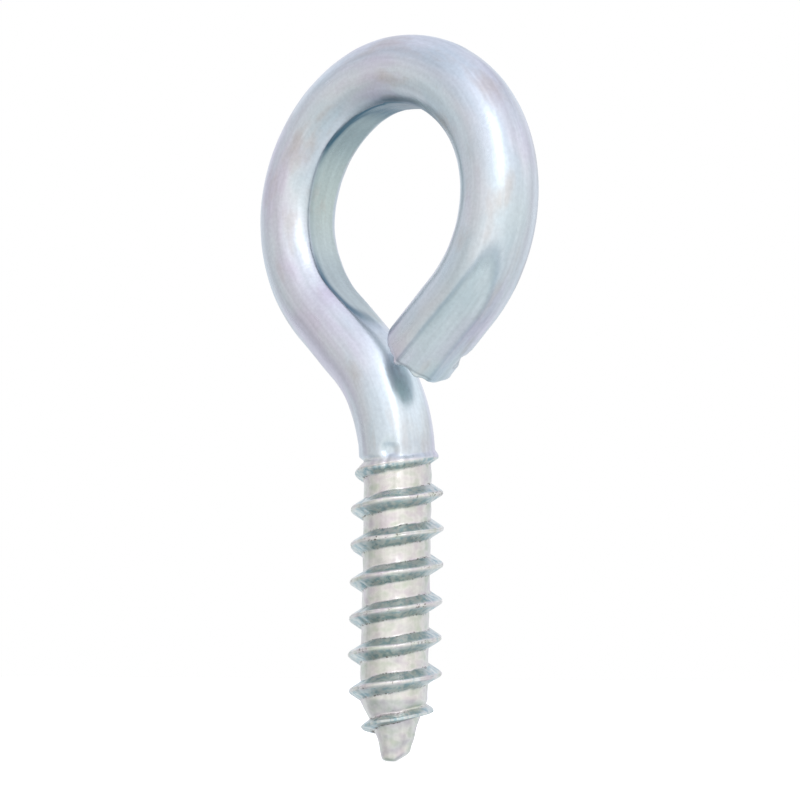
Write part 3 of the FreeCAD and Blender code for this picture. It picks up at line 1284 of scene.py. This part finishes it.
        # Lines and bands drawn along the wire, and grain, each a few per cent light or dark.
        for shade in (
            step(lines, 0.3, 0.7, 0.94, 1.04),
            step(grain, 0.3, 0.7, 0.95, 1.05),
            step(bands, 0.36, 0.62, 0.94, 1.06),
        ):
            scale = {"operation": "SCALE"}
            links = {0: colour, "Scale": shade}
            colour = add_node(tree, "ShaderNodeVectorMath", scale, links).outputs["Vector"]
        relief = add_node(tree, "ShaderNodeMath", {"operation": "ADD"}, {0: lines, 1: grain})
        depth = {"Strength": 0.5, "Distance": self.relief_mm * MM}
        bump = add_node(tree, "ShaderNodeBump", depth, {"Height": relief.outputs["Value"]})
        # The sheen breaks up softly in the same patches as the stains.
        rough = step(patches, 0.3, 0.7, self.roughness - 0.05, self.roughness + 0.08)
        tree.links.new(colour, shader.inputs["Base Color"])
        tree.links.new(rough, shader.inputs["Roughness"])
        tree.links.new(bump.outputs["Normal"], shader.inputs["Normal"])
        shader.inputs["Metallic"].default_value = 1.0
        return made


@dataclass(frozen=True)
class Studio:
    """Plain pale floor, plain soft light and the camera.

    The walls are colours by the height of a direction, from minus one straight below to one
    overhead. The front wall is behind the camera. Names ending in _m are in metres.
    """

    azimuth: float = math.radians(41.65)
    elevation: float = math.radians(-5.5)
    roll: float = math.radians(0.34)
    distance: float = 290.0
    aim_right: float = 0.45
    aim_height: float = 5.65
    frame_width: float = 80.645161
    floor_reach_m: float = 6.0
    floor_glow: float = 0.42
    key_bearing: float = math.radians(3)
    key_height: float = math.radians(31)
    key_size_m: Span = (0.085, 0.50)
    key_watts: float = 0.54
    key_distance_m: float = 0.8
    key_aim_m: float = 0.01
    front: Wall = (
        (-1.0, (0.68, 0.70, 0.74)),
        (-0.5, (0.76, 0.77, 0.80)),
        (0.0, (0.98, 0.94, 0.92)),
        (0.5, (1.00, 0.95, 1.02)),
        (1.0, (0.84, 0.82, 0.93)),
    )
    rear: Wall = (
        (-1.0, (0.60, 0.63, 0.68)),
        (-0.65, (0.58, 0.62, 0.68)),
        (-0.50, (0.84, 0.86, 0.90)),
        (0.0, (0.76, 0.77, 0.82)),
        (0.50, (0.86, 0.86, 0.92)),
        (0.65, (0.68, 0.68, 0.78)),
        (1.0, (0.86, 0.84, 0.95)),
    )

    @property
    def towards_camera(self) -> Vector:
        """Level direction from the object to the camera."""
        return Vector((math.sin(self.azimuth), -math.cos(self.azimuth), 0.0))

    @property
    def right(self) -> Vector:
        """Level direction to the camera's right."""
        return Vector((math.cos(self.azimuth), math.sin(self.azimuth), 0.0))

    def raised(self, level: Vector, height: float) -> Vector:
        """Raise a level direction by an angle in radians."""
        return level * math.cos(height) + Vector((0, 0, math.sin(height)))

    def camera(self) -> None:
        """Add the camera and make it the scene's own."""
        back = self.raised(self.towards_camera, self.elevation)
        up = back.cross(self.right)
        aim = Vector((0.0, 0.0, self.aim_height)) + self.right * self.aim_right
        rolled_right = self.right * math.cos(self.roll) + up * math.sin(self.roll)
        rolled_up = up * math.cos(self.roll) - self.right * math.sin(self.roll)
        data = bpy.data.cameras.new("camera")
        data.sensor_width = 36.0
        data.lens = data.sensor_width * self.distance / self.frame_width
        data.clip_start = 0.01
        data.clip_end = 50.0
        made = bpy.data.objects.new("camera", data)
        place = Matrix((rolled_right, rolled_up, back)).transposed().to_4x4()
        place.translation = (aim + back * self.distance) * MM
        made.matrix_world = place
        bpy.context.scene.collection.objects.link(made)
        bpy.context.scene.camera = made

    def floor(self) -> None:
        """Add the table under the point, a sheet of milky acrylic.

        It glows a little, as a light table does, so that it meets the white behind it unseen.
        """
        mesh = bpy.data.meshes.new("floor")
        reach = self.floor_reach_m
        level = CAD_BOX[0][2]
        corners = [(-reach, -reach), (reach, -reach), (reach, reach), (-reach, reach)]
        mesh.from_pydata([(x, y, level) for x, y in corners], [], [(0, 1, 2, 3)])
        made = bpy.data.objects.new("floor", mesh)
        bpy.context.scene.collection.objects.link(made)
        acrylic = bpy.data.materials.new("milky_acrylic_sheet")
        acrylic.use_nodes = True
        shader = acrylic.node_tree.nodes["Principled BSDF"]
        for socket, value in {
            "Base Color": linear("#F7F7F7"),
            "Roughness": 0.9,
            "Specular IOR Level": 0.0,
            "Emission Color": (1.0, 1.0, 1.0, 1.0),
            "Emission Strength": self.floor_glow,
        }.items():
            shader.inputs[socket].default_value = value
        mesh.materials.append(acrylic)
        made.visible_glossy = False

    def key(self) -> None:
        """Hang the one soft box, a tall strip over the camera that draws the long highlights."""
        level = self.towards_camera * math.cos(self.key_bearing)
        level = level + self.right * math.sin(self.key_bearing)
        towards = self.raised(level, self.key_height)
        data = bpy.data.lights.new("key_softbox", "AREA")
        data.shape = "RECTANGLE"
        data.size, data.size_y = self.key_size_m
        data.energy = self.key_watts
        made = bpy.data.objects.new("key_softbox", data)
        made.matrix_world = towards.to_track_quat("Z", "Y").to_matrix().to_4x4()
        made.location = towards * self.key_distance_m + Vector((0, 0, self.key_aim_m))
        bpy.context.scene.collection.objects.link(made)

    def surround(self) -> None:
        """Close the object in pale walls that are darker over and under the rear backdrop."""
        world = bpy.data.worlds.new("studio")
        world.use_nodes = True
        tree = world.node_tree
        tree.nodes.clear()
        vector = partial(add_node, tree, "ShaderNodeVectorMath")
        looking = add_node(tree, "ShaderNodeTexCoord").outputs["Generated"]
        height = add_node(tree, "ShaderNodeSeparateXYZ", links={"Vector": looking}).outputs["Z"]
        flattened = vector({"operation": "MULTIPLY", 1: (1.0, 1.0, 0.0)}, {0: looking})
        flattened = flattened.outputs["Vector"]
        level = vector({"operation": "NORMALIZE"}, {0: flattened}).outputs["Vector"]
        forward, sideways = [
            vector({"operation": "DOT_PRODUCT", 1: way}, {0: level}).outputs["Value"]
            for way in (self.towards_camera, self.right)
        ]
        share = between(tree, height, -1.0, 1.0)
        rear, front = [
            ramp(tree, share, tuple(((up + 1) / 2, (*colour, 1.0)) for up, colour in wall))
            for wall in (self.rear, self.front)
        ]
        turned = between(tree, forward, -0.75, 0.35, curve=Curve.SMOOTH)
        blend = {0: turned, 6: rear, 7: front}
        walls = add_node(tree, "ShaderNodeMix", {"data_type": "RGBA"}, blend)
        # A grey screen at the far left, and a fill round the camera.
        screen = between(tree, sideways, -0.70, -0.98, 1.0, 0.78, Curve.SMOOTH)
        fill = between(tree, forward, 0.55, 0.98, 1.25, 1.42, Curve.SMOOTH)
        strength = add_node(tree, "ShaderNodeMath", {"operation": "MULTIPLY"}, {0: screen, 1: fill})
        lit = add_node(tree, "ShaderNodeBackground", links={
            "Color": walls.outputs[2], "Strength": strength.outputs["Value"],
        })
        seen = add_node(tree, "ShaderNodeBackground", {"Color": (1.0, 1.0, 1.0, 1.0)})
        path = add_node(tree, "ShaderNodeLightPath")
        mixed = add_node(tree, "ShaderNodeMixShader", links={
            "Fac": path.outputs["Is Camera Ray"],
            1: lit.outputs["Background"],
            2: seen.outputs["Background"],
        })
        add_node(tree, "ShaderNodeOutputWorld", links={"Surface": mixed.outputs["Shader"]})
        bpy.context.scene.world = world

    def build(self) -> None:
        """Set up the floor, the light and the camera."""
        self.floor()
        self.surround()
        self.key()
        self.camera()
        bpy.context.scene.view_settings.view_transform = "Standard"


def main() -> None:
    """Build the screw eye and its studio, and report each piece."""
    logging.basicConfig(level=logging.INFO, format="%(name)s: %(message)s")
    eye = mount("eye")
    low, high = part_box(NODE)
    half_width = (high[0] - low[0]) / 2 / MM
    bend = Bend(ring_radius=half_width - BAR_RADIUS, ring_height=eye["pos_m"][2] / MM)
    thread = Thread(tip=low[2] / MM)
    piece = ScrewEye(bend, thread, eye["dims"]["r_mm"]).build()
    piece.data.materials.append(BlueChromatedZinc().material())
    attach(piece, "root")
    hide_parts(NODE)
    log.info("%s: %d faces", piece.name, len(piece.data.polygons))
    Studio().build()


if __name__ == "__main__":
    main()
